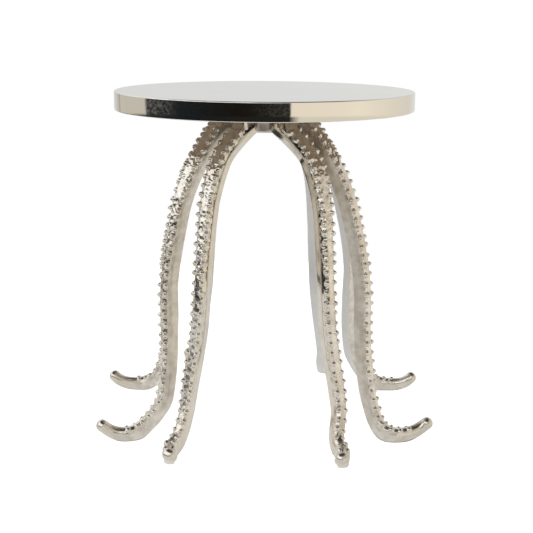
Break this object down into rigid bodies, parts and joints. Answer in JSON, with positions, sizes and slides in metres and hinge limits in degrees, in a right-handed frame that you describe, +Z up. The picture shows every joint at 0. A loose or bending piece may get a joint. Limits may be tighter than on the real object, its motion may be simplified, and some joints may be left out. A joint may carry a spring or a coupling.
{
  "type": "round side table with tentacle legs",
  "caption": "Round metal side table: a polished shallow-rimmed top on a central hub with curled cast octopus-tentacle legs covered in rows of suckers.",
  "frame": {"origin": "on the floor under the middle of the table", "axes": "+Z up through the middle of the top, -Y towards the picture's viewer, +X to that viewer's right"},
  "size_m": [0.5232, 0.5189, 0.52],
  "materials": {
    "polished_nickel": "polished nickel plate on cast aluminium, warm silver, mirror rim",
    "cast_nickel": "nickel-plated cast aluminium, sparkling hammered outer faces and satin inner faces",
    "satin_casting": "satin as-cast metal",
    "zinc_steel": "zinc-plated fixings"
  },
  "bodies": {
    "root": {"table_top": "polished_nickel", "hub_casting": "satin_casting", "tentacle_leg_front_right": "cast_nickel", "tentacle_leg_right_front": "cast_nickel", "tentacle_leg_right_rear": "cast_nickel", "tentacle_leg_rear_right": "cast_nickel", "tentacle_leg_rear_left": "cast_nickel", "tentacle_leg_left_rear": "cast_nickel", "tentacle_leg_left_front": "cast_nickel", "tentacle_leg_front_left": "cast_nickel", "leg_screw_front_right": "zinc_steel", "leg_screw_right_front": "zinc_steel", "leg_screw_right_rear": "zinc_steel", "leg_screw_rear_right": "zinc_steel", "leg_screw_rear_left": "zinc_steel", "leg_screw_left_rear": "zinc_steel", "leg_screw_left_front": "zinc_steel", "leg_screw_front_left": "zinc_steel", "top_spacer_front": "zinc_steel", "top_screw_front": "zinc_steel", "top_spacer_right": "zinc_steel", "top_screw_right": "zinc_steel", "top_spacer_rear": "zinc_steel", "top_screw_rear": "zinc_steel", "top_spacer_left": "zinc_steel", "top_screw_left": "zinc_steel"}
  },
  "joints": []
}
